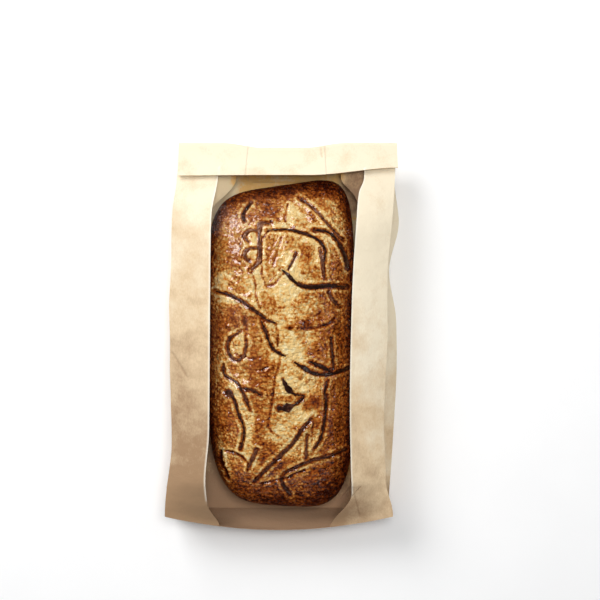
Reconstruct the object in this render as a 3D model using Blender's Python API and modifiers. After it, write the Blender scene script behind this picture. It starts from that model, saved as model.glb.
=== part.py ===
# Onion asiago loaf in a brown paper bakery bag that has a clear window down its front.
# The bag lies on its back panel and its top is folded over towards the window.
# Metres, +Z up, +Y towards the folded top, the back panel's underside on z = 0.

import math

import bmesh
import bpy
from mathutils import Vector, noise

# Paper bag
PAPER = 0.0004
LAYER = 0.0008
BOTTOM_Y = -0.1465
FOLD_Y = 0.1557
FLAP_END_Y = 0.1315
FOLD_RADIUS = 0.0016
FLAP_LIFT = 0.0036
FOLD_DIP = 0.0040
FOLD_DIP_HALF_WIDTH = 0.034
BACK_RISE_Y = 0.123
WINDOW_TOP_Y = 0.1385
CROWN_POWER = 2.4
END_WALL_LEAN = 0.0131
LEAN_START_Y = -0.116

# Each profile is a list of stations along the bag: (y, value)
LEFT_CREASE_X = (
    (-0.1465, -0.0970), (-0.106, -0.0933), (-0.090, -0.0921), (0.029, -0.0925),
    (0.070, -0.0917), (0.106, -0.0891), (0.130, -0.0875), (0.156, -0.0865),
)
RIGHT_CREASE_X = (
    (-0.1465, 0.0888), (-0.117, 0.0829), (-0.069, 0.0819), (-0.007, 0.0839), (0.054, 0.0848),
    (0.106, 0.0890), (0.134, 0.0910), (0.156, 0.0930),
)
LEFT_BACK_X = (
    (-0.1465, -0.0965), (-0.100, -0.0915), (0.000, -0.0890), (0.100, -0.0885), (0.156, -0.0865),
)
RIGHT_BACK_X = (
    (-0.1465, 0.0885), (-0.098, 0.0914), (-0.018, 0.0953), (0.012, 0.0948), (0.055, 0.0888),
    (0.096, 0.0970), (0.134, 0.0930), (0.156, 0.0930),
)
LEFT_GUSSET_X = (
    (-0.1465, -0.0968), (-0.108, -0.0690), (0.094, -0.0680), (0.103, -0.0625), (0.131, -0.0400),
    (0.156, -0.0395),
)
RIGHT_GUSSET_X = (
    (-0.1465, 0.0887), (-0.108, 0.0635), (0.104, 0.0630), (0.116, 0.0590), (0.131, 0.0475),
    (0.156, 0.0460),
)
LEFT_WINDOW_X = (
    (-0.1465, -0.0530), (-0.132, -0.0620), (-0.117, -0.0630), (-0.075, -0.0598),
    (0.029, -0.0590), (0.097, -0.0582), (0.129, -0.0537), (0.140, -0.0530),
)
RIGHT_WINDOW_X = (
    (-0.1465, 0.0380), (-0.126, 0.0550), (-0.103, 0.0541), (-0.051, 0.0533), (0.029, 0.0549),
    (0.097, 0.0589), (0.117, 0.0610), (0.129, 0.0654), (0.140, 0.0660),
)
CREASE_Z = (
    (-0.1465, 0.0450), (-0.118, 0.0470), (0.000, 0.0480), (0.090, 0.0480), (0.131, 0.0400),
    (0.156, 0.0320),
)
MIDDLE_Z = (
    (-0.1465, 0.0330), (-0.130, 0.0530), (-0.116, 0.0675), (-0.095, 0.0695), (0.080, 0.0695),
    (0.106, 0.0610), (0.131, 0.0460), (0.156, 0.0325),
)
BODY_STATIONS = (
    -0.1465, -0.142, -0.134, -0.125, -0.117, -0.106, -0.085, -0.060, -0.035, -0.010, 0.015,
    0.040, 0.065, 0.085, 0.097, 0.106, 0.114, 0.122, 0.130, WINDOW_TOP_Y, 0.145, 0.151, FOLD_Y,
)
FOLD_STEPS = 5
FLAP_STEPS = 5
STRIP_COLUMNS = 3
WINDOW_COLUMNS = 8

# Clear window film, glued under the paper's window edges
FILM = 0.0002
FILM_DROP = 0.0009
FILM_OVERLAP = 0.0060
FILM_TOP_Y = 0.1440
FILM_BOTTOM_Y = -0.1456
FILM_COLUMNS = 10
FILM_STATIONS = (FILM_BOTTOM_Y, *BODY_STATIONS[1:BODY_STATIONS.index(WINDOW_TOP_Y) + 1], FILM_TOP_Y)

# Loaf
LOAF_CENTRE = Vector((-0.0028, -0.0064, 0.0))
LOAF_HEAD_LENGTH = 0.1315
LOAF_TAIL_LENGTH = 0.1340
LOAF_HALF_WIDTH = 0.0610
LOAF_BASE_Z = PAPER + 0.0003
LOAF_WIDEST_Z = 0.0250
LOAF_TOP_Z = 0.0645
LEFT_HEAD_POWER = 5.2
RIGHT_HEAD_POWER = 6.0
LEFT_TAIL_POWER = 3.6
RIGHT_TAIL_POWER = 4.3
DOME_POWER = 2.3
BASE_POWER = 5.0
BASE_FLAT = 0.0060
HEAD_SKEW = 0.150
TAIL_SKEW = -0.055
CRUST_LUMP = 0.0011
CRUST_LUMP_SIZE = 0.016
CRUST_LUMP_DROP = 0.0004
LOAF_SEGMENTS = 60
LOAF_RINGS = 24

# Cheese swells on the crust: x and y from the loaf's centre, radius, height
CHEESE_SWELLS = (
    (0.009, 0.106, 0.012, 0.0010), (0.004, 0.075, 0.013, 0.0012), (0.014, 0.058, 0.015, 0.0014),
    (0.004, 0.038, 0.016, 0.0010), (0.008, 0.010, 0.018, 0.0014), (0.020, -0.008, 0.014, 0.0012),
    (0.014, -0.031, 0.016, 0.0012), (0.010, -0.061, 0.018, 0.0014), (0.012, -0.087, 0.016, 0.0012),
    (-0.039, 0.050, 0.012, 0.0010), (-0.022, 0.030, 0.014, 0.0009), (-0.032, -0.035, 0.014, 0.0010),
    (0.044, -0.030, 0.012, 0.0009), (-0.032, -0.102, 0.019, 0.0016),
)

# Roasted onion strips: width, then points along the strip, x and y from the loaf's centre
ONION_STRIPS = (
    (0.0025, (-0.024, 0.116), (-0.030, 0.107), (-0.029, 0.100)),
    (0.0020, (0.015, 0.120), (0.029, 0.109), (0.042, 0.094), (0.051, 0.085)),
    (0.0026, (-0.011, 0.093), (0.009, 0.093), (0.029, 0.086), (0.036, 0.077), (0.035, 0.066)),
    (0.0040, (-0.008, 0.098), (-0.016, 0.098), (-0.017, 0.086), (-0.017, 0.068), (-0.024, 0.060)),
    (0.0026, (-0.017, 0.092), (-0.024, 0.093), (-0.029, 0.088), (-0.025, 0.083)),
    (0.0026, (-0.018, 0.078), (-0.025, 0.078), (-0.029, 0.073), (-0.025, 0.068)),
    (0.0036, (0.026, 0.093), (0.037, 0.092), (0.045, 0.086), (0.052, 0.074), (0.055, 0.062)),
    (0.0022, (0.032, 0.078), (0.034, 0.066), (0.036, 0.054)),
    (0.0024, (0.013, 0.074), (0.009, 0.066), (0.006, 0.060)),
    (0.0042, (0.001, 0.061), (0.006, 0.057), (0.013, 0.050), (0.023, 0.047), (0.040, 0.048),
     (0.054, 0.047)),
    (0.0026, (0.039, 0.043), (0.043, 0.036), (0.048, 0.031)),
    (0.0032, (-0.053, 0.044), (-0.040, 0.040), (-0.027, 0.033), (-0.011, 0.021), (-0.003, 0.018)),
    (0.0026, (-0.031, 0.012), (-0.041, 0.005), (-0.042, -0.005), (-0.036, -0.012),
     (-0.029, -0.008), (-0.027, 0.004)),
    (0.0028, (-0.015, 0.020), (-0.012, 0.012), (-0.006, -0.002), (0.005, -0.009)),
    (0.0042, (0.011, -0.013), (0.019, -0.018), (0.029, -0.023), (0.042, -0.023), (0.055, -0.019)),
    (0.0032, (0.024, -0.013), (0.033, -0.017), (0.041, -0.021)),
    (0.0022, (0.041, 0.006), (0.042, -0.006), (0.043, -0.019)),
    (0.0024, (-0.046, -0.016), (-0.045, -0.024), (-0.035, -0.030), (-0.030, -0.038),
     (-0.024, -0.052)),
    (0.0022, (-0.029, -0.034), (-0.022, -0.036), (-0.015, -0.040)),
    (0.0028, (-0.044, -0.037), (-0.038, -0.042), (-0.034, -0.054), (-0.029, -0.068),
     (-0.032, -0.084)),
    (0.0030, (0.005, -0.029), (0.010, -0.038), (0.020, -0.041)),
    (0.0056, (-0.002, -0.049), (0.006, -0.049), (0.014, -0.046), (0.020, -0.042)),
    (0.0024, (0.038, -0.029), (0.036, -0.037), (0.037, -0.050), (0.033, -0.074), (0.027, -0.084)),
    (0.0032, (0.026, -0.058), (0.018, -0.067), (0.009, -0.080), (-0.012, -0.101),
     (-0.021, -0.111)),
    (0.0024, (-0.019, -0.084), (-0.023, -0.093), (-0.026, -0.100)),
    (0.0024, (0.053, -0.085), (0.039, -0.090), (0.023, -0.094), (0.003, -0.104)),
    (0.0020, (0.022, -0.072), (0.021, -0.083), (0.021, -0.092)),
    (0.0026, (0.001, -0.107), (0.002, -0.113), (0.008, -0.122)),
)
ONION_CORNERS = (0.0, 60.0, 120.0, 180.0, 270.0)
ONION_STEP = 0.0090
ONION_RISE = 0.0010
ONION_SINK = 0.0014


def ease(value):
    """Smooth step from 0 to 1."""
    value = min(1.0, max(0.0, value))
    return value * value * (3.0 - 2.0 * value)


def along(profile, y):
    """Read a profile at y by a curve through its stations that never overshoots them."""
    last = len(profile) - 1
    y = min(profile[last][0], max(profile[0][0], y))
    index = 0
    while index < last - 1 and y > profile[index + 1][0]:
        index += 1

    def rise(i):
        return (profile[i + 1][1] - profile[i][1]) / (profile[i + 1][0] - profile[i][0])

    def slope(i):
        if i == 0 or i == last or rise(i - 1) * rise(i) <= 0.0:
            return 0.0
        return 2.0 / (1.0 / rise(i - 1) + 1.0 / rise(i))

    y0, v0 = profile[index]
    y1, v1 = profile[index + 1]
    span = y1 - y0
    t = (y - y0) / span
    blend = ease(t)
    pull = slope(index) * span * t * (1.0 - t) ** 2 - slope(index + 1) * span * t * t * (1.0 - t)
    return v0 + (v1 - v0) * blend + pull


def across(x, y):
    """Place across the front panel: -1 at its left crease, 1 at its right one."""
    left = along(LEFT_CREASE_X, y)
    right = along(RIGHT_CREASE_X, y)
    place = (2.0 * x - left - right) / (right - left)
    return min(1.0, max(-1.0, place))


def front_height(x, y):
    """Height of the front panel and window above the floor."""
    crease = along(CREASE_Z, y)
    crown = along(MIDDLE_Z, y) - crease
    return crease + crown * (1.0 - abs(across(x, y)) ** CROWN_POWER)


def back_height(x, y):
    """Height of the back panel: flat on the floor, then rising to meet the front at the fold."""
    floor = PAPER / 2.0
    rise = min(1.0, max(0.0, (y - BACK_RISE_Y) / (FOLD_Y - BACK_RISE_Y))) ** 2
    return floor + rise * (front_height(x, y) - 3.0 * LAYER - floor)


def fold_dip(x, y):
    """How far the middle of the folded top sits back from its ends."""
    middle = ease(1.5 - abs(x) / FOLD_DIP_HALF_WIDTH)
    return FOLD_DIP * middle * ease((y - FLAP_END_Y) / (FOLD_Y - FLAP_END_Y))


def bag_point(x, y, level):
    """Point on the bag at station y, with level 0 on the back panel and 1 on the front."""
    back = back_height(x, y)
    z = back + level * (front_height(x, y) - back)
    lean_here = ease((LEAN_START_Y - y) / (LEAN_START_Y - BOTTOM_Y))
    lean = END_WALL_LEAN * lean_here * (1.0 - across(x, y) ** 2) * math.sin(0.5 * math.pi * level)
    return Vector((x, y - lean - fold_dip(x, y), z))


def fold_point(x, level, angle):
    """Point on the half turn at the top, where the front panel is the inner layer."""
    radius = FOLD_RADIUS + 3.0 * LAYER * (1.0 - level)
    axis_z = front_height(x, FOLD_Y) + FOLD_RADIUS
    y = FOLD_Y - fold_dip(x, FOLD_Y) + radius * math.sin(angle)
    return Vector((x, y, axis_z - radius * math.cos(angle)))


def flap_point(x, level, reach):
    """Point on the flap, with reach 0 at the fold and 1 at the mouth of the bag."""
    y = FOLD_Y + reach * (FLAP_END_Y - FOLD_Y)
    lift = 2.0 * FOLD_RADIUS + reach * (FLAP_LIFT - 2.0 * FOLD_RADIUS)
    depth = 3.0 * LAYER * (1.0 - level)
    return Vector((x, y - fold_dip(x, y), front_height(x, y) + lift + depth))


def spread(start, end, count):
    """Values from start up to, but not including, end."""
    return [start + (end - start) * i / count for i in range(count)]


def front_columns(y):
    """X of each column of the front panel, from the left crease to the right one."""
    left = along(LEFT_CREASE_X, y)
    window_left = along(LEFT_WINDOW_X, y)
    window_right = along(RIGHT_WINDOW_X, y)
    right = along(RIGHT_CREASE_X, y)
    columns = spread(left, window_left, STRIP_COLUMNS)
    columns += spread(window_left, window_right, WINDOW_COLUMNS)
    columns += spread(window_right, right, STRIP_COLUMNS)
    return columns + [right]


def back_columns(y):
    """X of each column of the back panel, as many as the front has."""
    left = along(LEFT_BACK_X, y)
    right = along(RIGHT_BACK_X, y)
    count = 2 * STRIP_COLUMNS + WINDOW_COLUMNS
    return spread(left, right, count) + [right]


def gusset(y, front_profile, gusset_profile, back_profile):
    """One side's pleat as (x, level) pairs, from under the front crease to over the back one."""
    front_x = along(front_profile, y)
    fold_x = along(gusset_profile, y)
    back_x = along(back_profile, y)
    step = LAYER / (front_height(front_x, y) - back_height(front_x, y))
    upper = 0.5 + 0.5 * step
    lower = 0.5 - 0.5 * step
    return [
        (front_x, 1.0 - step),
        (0.5 * (front_x + fold_x), 0.5 * (1.0 - step + upper)),
        (fold_x, upper),
        (fold_x, lower),
        (0.5 * (fold_x + back_x), 0.5 * (lower + step)),
        (back_x, step),
    ]


def ring(y):
    """The bag's section at station y as (x, level) pairs: front, right, back, left."""
    front = [(x, 1.0) for x in front_columns(y)]
    right = gusset(y, RIGHT_CREASE_X, RIGHT_GUSSET_X, RIGHT_BACK_X)
    back = [(x, 0.0) for x in reversed(back_columns(y))]
    left = gusset(y, LEFT_CREASE_X, LEFT_GUSSET_X, LEFT_BACK_X)
    return front + right + back + left[::-1]


def bag_rings():
    """Rings of points from the bottom rim, up the bag, round the fold and along the flap."""
    rings = []
    for y in BODY_STATIONS:
        rings.append([bag_point(x, y, level) for x, level in ring(y)])
    top = ring(FOLD_Y)
    for step in range(1, FOLD_STEPS + 1):
        angle = math.pi * step / FOLD_STEPS
        rings.append([fold_point(x, level, angle) for x, level in top])
    for step in range(1, FLAP_STEPS + 1):
        rings.append([flap_point(x, level, step / FLAP_STEPS) for x, level in top])
    return rings


def add_end_wall(bm, first_ring):
    """Close the bottom with a wall between the rim, the floor edge and both pleats."""
    columns = 2 * STRIP_COLUMNS + WINDOW_COLUMNS
    section = ring(BOTTOM_Y)
    pleat = len(section) // 2 - columns - 1
    levels = [1.0] + [level for _, level in section[columns + 1:columns + 1 + pleat]] + [0.0]
    rows = []
    for k, level in enumerate(levels):
        row = [first_ring[-k % len(first_ring)]]
        for j in range(1, columns):
            front_x = section[j][0]
            back_x = section[columns + 1 + pleat + columns - j][0]
            x = back_x + level * (front_x - back_x)
            if level == 1.0:
                row.append(first_ring[j])
            elif level == 0.0:
                row.append(first_ring[columns + 1 + pleat + columns - j])
            else:
                row.append(bm.verts.new(bag_point(x, BOTTOM_Y, level)))
        row.append(first_ring[columns + k])
        rows.append(row)
    for upper, lower in zip(rows, rows[1:]):
        for j in range(columns):
            bm.faces.new((upper[j], upper[j + 1], lower[j + 1], lower[j]))


def finish_mesh(name, bm, material, collection):
    """Turn a bmesh into a named object with its material in the collection."""
    bmesh.ops.recalc_face_normals(bm, faces=bm.faces)
    mesh = bpy.data.meshes.new(name)
    bm.to_mesh(mesh)
    bm.free()
    mesh.materials.append(material)
    obj = bpy.data.objects.new(name, mesh)
    collection.objects.link(obj)
    return obj


def thicken(obj, thickness):
    """Give an open sheet its thickness, half on each side."""
    solid = obj.modifiers.new("thickness", "SOLIDIFY")
    solid.thickness = thickness
    solid.offset = 0.0
    solid.use_even_offset = True


def make_bag(collection, material):
    """Paper shell with both pleats, the folded top, the window opening and the end wall."""
    bm = bmesh.new()
    rings = [[bm.verts.new(point) for point in points] for points in bag_rings()]
    count = len(rings[0])
    window_columns = range(STRIP_COLUMNS, STRIP_COLUMNS + WINDOW_COLUMNS)
    window_rows = range(BODY_STATIONS.index(WINDOW_TOP_Y))
    for i, (lower, upper) in enumerate(zip(rings, rings[1:])):
        for j in range(count):
            if i in window_rows and j in window_columns:
                continue
            k = (j + 1) % count
            bm.faces.new((lower[j], lower[k], upper[k], upper[j]))
    add_end_wall(bm, rings[0])
    bag = finish_mesh("bag", bm, material, collection)
    thicken(bag, PAPER)
    return bag


def make_film(collection, material):
    """Clear film just under the front panel, from below the flap to the bottom rim."""
    bm = bmesh.new()
    rows = len(FILM_STATIONS) - 1
    bmesh.ops.create_grid(bm, x_segments=FILM_COLUMNS, y_segments=rows, size=1.0)
    for vert in bm.verts:
        y = FILM_STATIONS[round(0.5 * (vert.co.y + 1.0) * rows)]
        left = along(LEFT_WINDOW_X, y) - FILM_OVERLAP
        right = along(RIGHT_WINDOW_X, y) + FILM_OVERLAP
        x = left + 0.5 * (vert.co.x + 1.0) * (right - left)
        vert.co = bag_point(x, y, 1.0) - Vector((0.0, 0.0, FILM_DROP))
    film = finish_mesh("window_film", bm, material, collection)
    thicken(film, FILM)
    return film


def plan_length(y):
    """Length of the loaf's plan from its centre to its head or to its tail."""
    return LOAF_HEAD_LENGTH if y > 0.0 else LOAF_TAIL_LENGTH


def plan_skew(y):
    """How far a loaf's end leans for each unit across it, with y taken before the lean."""
    skew = HEAD_SKEW if y > 0.0 else TAIL_SKEW
    return skew * (y / plan_length(y)) ** 2


def plan_power(x, y):
    """Power of the superellipse that outlines a quarter of the loaf's plan."""
    if y > 0.0:
        return RIGHT_HEAD_POWER if x > 0.0 else LEFT_HEAD_POWER
    return RIGHT_TAIL_POWER if x > 0.0 else LEFT_TAIL_POWER


def plan_place(x, y):
    """How far out a point of the loaf's plan is: 0 in the middle, 1 on the outline."""
    straight_y = y
    for _ in range(4):
        straight_y = y - x * plan_skew(straight_y)
    power = plan_power(x, straight_y)
    wide = abs(x) / LOAF_HALF_WIDTH
    long = abs(straight_y) / plan_length(straight_y)
    return (wide ** power + long ** power) ** (1.0 / power)


def swell(x, y):
    """Height that the cheese and the crust's soft lumps add at a point of the plan."""
    height = 0.0
    for swell_x, swell_y, radius, rise in CHEESE_SWELLS:
        gap = ((x - swell_x) ** 2 + (y - swell_y) ** 2) / radius ** 2
        height += rise * math.exp(-2.0 * gap)
    lump = noise.noise(Vector((x, y, 0.0)) / CRUST_LUMP_SIZE)
    return height + CRUST_LUMP * lump - CRUST_LUMP_DROP


def loaf_height(x, y):
    """Height of the loaf's top at a point of its plan, from its centre."""
    place = min(1.0, plan_place(x, y))
    dome = (1.0 - place ** DOME_POWER) ** (1.0 / DOME_POWER)
    return LOAF_WIDEST_Z + (LOAF_TOP_Z - LOAF_WIDEST_Z) * dome + swell(x, y) * ease(3.0 * dome)


def loaf_point(direction):
    """Point of the loaf's surface for a unit direction from a sphere."""
    flat = math.hypot(direction.x, direction.y)
    up = direction.z
    power = DOME_POWER if up >= 0.0 else BASE_POWER
    place = flat ** (2.0 / power)
    if flat < 1e-6:
        x = 0.0
        straight_y = 0.0
    else:
        cosine = direction.x / flat
        sine = direction.y / flat
        outline = plan_power(cosine, sine)
        reach = place / (abs(cosine) ** outline + abs(sine) ** outline) ** (1.0 / outline)
        x = LOAF_HALF_WIDTH * cosine * reach
        straight_y = plan_length(sine) * sine * reach
    y = straight_y + x * plan_skew(straight_y)
    if up >= 0.0:
        return Vector((x, y, loaf_height(x, y)))
    depth = (LOAF_WIDEST_Z - LOAF_BASE_Z + BASE_FLAT) * abs(up) ** (2.0 / power)
    return Vector((x, y, max(LOAF_BASE_Z, LOAF_WIDEST_Z - depth)))


def smooth_path(points, step):
    """Curve through the points, sampled about every step along it."""
    path = []
    last = len(points) - 1
    for i in range(last):
        before = points[max(i - 1, 0)]
        start = points[i]
        end = points[i + 1]
        after = points[min(i + 2, last)]
        count = max(1, round((end - start).length / step))
        for k in range(count):
            t = k / count
            bend = (end - before) * t * (1.0 - t) ** 2 - (after - start) * t * t * (1.0 - t)
            path.append(start.lerp(end, ease(t)) + 0.5 * bend)
    path.append(points[last])
    return path


def make_onion_strip(index, width, places, collection):
    """Flat tapered strip that follows the crust, half sunk in it."""
    path = smooth_path([Vector(place) for place in places], ONION_STEP)
    bm = bmesh.new()
    rings = []
    for i, place in enumerate(path):
        ahead = path[min(i + 1, len(path) - 1)] - path[max(i - 1, 0)]
        side = Vector((-ahead.y, ahead.x)).normalized()
        taper = 1.0 - 0.55 * abs(2.0 * i / (len(path) - 1) - 1.0) ** 3
        points = []
        for corner in ONION_CORNERS:
            angle = math.radians(corner)
            flat = place + side * (0.5 * width * taper * math.cos(angle))
            lift = ONION_RISE if math.sin(angle) > 0.0 else ONION_SINK
            z = loaf_height(flat.x, flat.y) + lift * math.sin(angle) * taper
            points.append(bm.verts.new((flat.x, flat.y, z)))
        rings.append(points)
    for lower, upper in zip(rings, rings[1:]):
        for j in range(len(ONION_CORNERS)):
            k = (j + 1) % len(ONION_CORNERS)
            bm.faces.new((lower[j], lower[k], upper[k], upper[j]))
    bm.faces.new(rings[0][::-1])
    bm.faces.new(rings[-1])
    bmesh.ops.translate(bm, verts=bm.verts, vec=LOAF_CENTRE)
    bmesh.ops.triangulate(bm, faces=bm.faces)
    bmesh.ops.recalc_face_normals(bm, faces=bm.faces)
    mesh = bpy.data.meshes.new("onion_strip_%02d" % index)
    bm.to_mesh(mesh)
    bm.free()
    collection.objects.link(bpy.data.objects.new(mesh.name, mesh))


def join_strips(loaf, strips):
    """Fuse the strips to the loaf, then remove them."""
    union = loaf.modifiers.new("onion", "BOOLEAN")
    union.operation = "UNION"
    union.operand_type = "COLLECTION"
    union.collection = strips
    union.solver = "EXACT"
    bpy.context.view_layer.objects.active = loaf
    bpy.ops.object.modifier_apply(modifier=union.name)
    for obj in list(strips.objects):
        bpy.data.objects.remove(obj, do_unlink=True)


def make_loaf(collection, strips, material):
    """Domed loaf with a flat base, a lumpy cheese crust and onion strips fused on top."""
    bm = bmesh.new()
    bmesh.ops.create_uvsphere(bm, u_segments=LOAF_SEGMENTS, v_segments=LOAF_RINGS, radius=1.0)
    for vert in bm.verts:
        vert.co = loaf_point(vert.co.normalized()) + LOAF_CENTRE
    bmesh.ops.triangulate(bm, faces=bm.faces)
    loaf = finish_mesh("loaf", bm, material, collection)
    for index, (width, *places) in enumerate(ONION_STRIPS):
        make_onion_strip(index, width, places, strips)
    join_strips(loaf, strips)
    return loaf


def make_material(name, colour, roughness, alpha=1.0):
    """Principled material with a plain colour."""
    material = bpy.data.materials.new(name)
    material.use_nodes = True
    shader = material.node_tree.nodes["Principled BSDF"]
    shader.inputs["Base Color"].default_value = (*colour, 1.0)
    shader.inputs["Roughness"].default_value = roughness
    shader.inputs["Alpha"].default_value = alpha
    return material


def make_collection(name):
    """New collection in the scene."""
    collection = bpy.data.collections.new(name)
    bpy.context.scene.collection.children.link(collection)
    return collection


def main():
    """Clear the scene and model the loaf in its bag."""
    for obj in list(bpy.data.objects):
        bpy.data.objects.remove(obj, do_unlink=True)
    parts = make_collection("onion_asiago_loaf")
    strips = make_collection("onion_strips")
    crust = make_material("crust", (0.42, 0.16, 0.05), 0.45)
    paper = make_material("brown_paper", (0.72, 0.52, 0.33), 0.8)
    clear = make_material("clear_film", (0.92, 0.92, 0.90), 0.08, 0.2)
    make_loaf(parts, strips, crust)
    make_bag(parts, paper)
    make_film(parts, clear)


main()
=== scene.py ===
"""Onion asiago loaf in a brown paper bag with a clear window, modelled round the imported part."""
import math

import bpy
import numpy as np
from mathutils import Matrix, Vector, noise


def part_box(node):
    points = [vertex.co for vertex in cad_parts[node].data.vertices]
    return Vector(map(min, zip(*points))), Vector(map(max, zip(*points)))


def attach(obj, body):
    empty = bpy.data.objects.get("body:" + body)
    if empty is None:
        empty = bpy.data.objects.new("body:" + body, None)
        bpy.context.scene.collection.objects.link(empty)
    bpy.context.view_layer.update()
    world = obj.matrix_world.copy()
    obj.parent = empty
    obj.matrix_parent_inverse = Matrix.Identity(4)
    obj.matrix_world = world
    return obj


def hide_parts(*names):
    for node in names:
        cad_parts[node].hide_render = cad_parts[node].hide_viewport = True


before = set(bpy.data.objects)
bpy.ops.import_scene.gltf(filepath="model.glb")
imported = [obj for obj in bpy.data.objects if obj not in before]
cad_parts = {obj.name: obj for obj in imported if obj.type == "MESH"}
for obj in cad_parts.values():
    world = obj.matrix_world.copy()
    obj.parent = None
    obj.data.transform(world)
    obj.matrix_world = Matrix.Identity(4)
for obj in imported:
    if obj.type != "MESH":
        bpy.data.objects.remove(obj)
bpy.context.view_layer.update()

LOAF_LOW, LOAF_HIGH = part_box("loaf")
BAG_LOW, BAG_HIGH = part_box("bag")
FILM_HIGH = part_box("window_film")[1]

bl_info = {
    "name": "Onion Asiago Loaf",
    "version": (1, 0, 0),
    "blender": (4, 5, 0),
    "location": "View3D > Sidebar > Loaf",
    "description": "Models a cheese-crusted onion loaf lying in a windowed paper bakery bag",
    "category": "Object",
}

# Single sizes are in metres. Lists are in millimetres, and times MM they are in metres.
MM = 0.001

# Bag: places along it, and profiles that are lists of stations (y, value)
BOTTOM_Y = -0.1465
FOLD_Y = 0.1557
FLAP_END_Y = 0.1315
LAYER = 0.0008
FLAT_LAYERS = 3.0
TURNED_LAYERS = 2.7
FOLD_RADIUS = 0.0016
FLAP_LIFT = 0.0036
FLAP_SLANT = 0.28
FOLD_DIP = 0.0040
FOLD_DIP_HALF_WIDTH = 0.034
BACK_RISE_Y = 0.123
BACK_PANEL_Z = 0.0002
WINDOW_TOP_Y = 0.1385
CROWN_POWER = 2.4
END_WALL_LEAN = 0.0131
LEAN_START_Y = -0.116
LEFT_CREASE_X = (
    (-146.5, -97), (-106, -93.3), (-90, -92.1), (29, -92.5), (70, -91.7), (106, -89.1),
    (130, -87.5), (156, -86.5),
)
RIGHT_CREASE_X = (
    (-146.5, 88.8), (-117, 82.9), (-69, 81.9), (-7, 83.9), (54, 84.8), (106, 89), (134, 91),
    (156, 93),
)
LEFT_BACK_X = (
    (-146.5, -96.5), (-100, -91.5), (0, -89), (100, -88.5), (156, -86.5),
)
RIGHT_BACK_X = (
    (-146.5, 88.5), (-98, 91.4), (-18, 95.3), (12, 94.8), (55, 88.8), (96, 97), (134, 93),
    (156, 93),
)
LEFT_GUSSET_X = (
    (-146.5, -96.8), (-108, -69), (94, -68), (103, -62.5), (131, -40), (156, -39.5),
)
RIGHT_GUSSET_X = (
    (-146.5, 88.7), (-108, 63.5), (104, 63), (116, 59), (131, 47.5), (156, 46),
)
LEFT_WINDOW_X = (
    (-146.5, -53), (-132, -62), (-117, -63), (-75, -59.8), (29, -59), (97, -58.2), (129, -53.7),
    (140, -53),
)
RIGHT_WINDOW_X = (
    (-146.5, 38), (-126, 55), (-103, 54.1), (-51, 53.3), (29, 54.9), (97, 58.9), (117, 61),
    (129, 65.4), (140, 66),
)
CREASE_Z = (
    (-146.5, 45), (-118, 47), (0, 48), (90, 48), (131, 40), (156, 32),
)
MIDDLE_Z = (
    (-146.5, 33), (-130, 53), (-116, 67.5), (-95, 69.5), (80, 69.5), (106, 61), (131, 46),
    (156, 32.5),
)
STRIP_CELLS = 18
WINDOW_CELLS = 70
PLEAT_CELLS = 9
BODY_CELLS = 150
FOLD_CELLS = 10
FLAP_CELLS = 14
RUFFLE_SIZE = 0.034
RUFFLE_LIFT = 0.0009
RUFFLE_SIDE = 0.0016

# Sharp creases in the paper, darkened along them as painted shade: half width, then both ends.
# The fourth, just below the flap's edge, is a painted shadow under the flap.
PAPER_CREASES = (
    (1, -29, 156, -31, 131), (1, 34, 156, 35, 133), (1.4, 30.5, 156, 31.5, 148),
    (1.4, -26, 129.5, 30, 129.5), (1.8, -90.5, -13, -78, -32), (1, 56, -121, 62, -146),
    (0.9, 48, -138, 62, -121),
)

# Film
FILM_DROP = 0.0009
FILM_OVERLAP = 0.0055
FILM_TOP_Y = 0.1430
FILM_BOTTOM_Y = -0.1456

# Loaf
LOAF_X = -0.0028
LOAF_Y = -0.0064
WIDEST_Z = 0.0250
TOP_Z = 0.0645
LEFT_HEAD_POWER = 5.2
RIGHT_HEAD_POWER = 6.0
LEFT_TAIL_POWER = 3.6
RIGHT_TAIL_POWER = 4.3
DOME_POWER = 2.3
BASE_POWER = 5.0
BASE_FLAT = 0.0060
HEAD_SKEW = 0.150
TAIL_SKEW = -0.055
CRUST_LUMP = 0.0011
CRUST_LUMP_SIZE = 0.016
CRUST_LUMP_DROP = 0.0004
DOME_SHARE = 0.87
LOAF_CELLS_ACROSS = 200
LOAF_CELLS_ALONG = 430

# The crust's fine relief
LUMP_SIZE = 0.0110
LUMP_HEIGHT = 0.00050
ROUGH_SIZE = 0.0042
ROUGH_HEIGHT = 0.00045
WRINKLE_SIZE = 0.0032
WRINKLE_HEIGHT = 0.00045
LARGE_BLISTER_SIZE = 0.0072
LARGE_BLISTER_HEIGHT = 0.00070
LARGE_BLISTER_DROP = 0.0004
SMALL_BLISTER_SIZE = 0.0030
SMALL_BLISTER_HEIGHT = 0.00100
SMALL_BLISTER_DROP = 0.0006
WARP = 0.0045
WARP_SIZE = 0.011
PATH_STEP = 0.004

# How baked the crust is: 0 pale cheese, 0.5 orange-brown, 1 mahogany. Creases in it add
# painted shade in their grooves and paler lips, for each metre of their depth.
PLAIN_TOAST = 0.40
EDGE_TOAST = 0.50
EDGE_START = 0.855
EDGE_SPAN = 0.115
PATCH_GAIN = 1.32
GROOVE_SHADE = 500.0
LIP_TOAST = 150.0

# Onion strips: half width of a strip and of its bed in the crust, as shares of its listed width
STRIP_HALF = 0.38
STRIP_BED = 0.42
BULB_BED = 0.25
BED_DEPTH = 0.0004
BED_LIP_HEIGHT = 0.00055
STRIP_RISE = 0.00035
END_SINK = 0.0004

# Swells of melted cheese: x and y from the loaf's centre, radius, height
CHEESE_SWELLS = (
    (9, 106, 12, 1), (4, 75, 13, 1.2), (14, 58, 15, 1.4), (4, 38, 16, 1), (8, 10, 18, 1.4),
    (20, -8, 14, 1.2), (14, -31, 16, 1.2), (10, -61, 18, 1.4), (12, -87, 16, 1.2),
    (-39, 50, 12, 1), (-22, 30, 14, 0.9), (-32, -35, 14, 1), (44, -30, 12, 0.9),
    (-32, -102, 19, 1.6),
)

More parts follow.
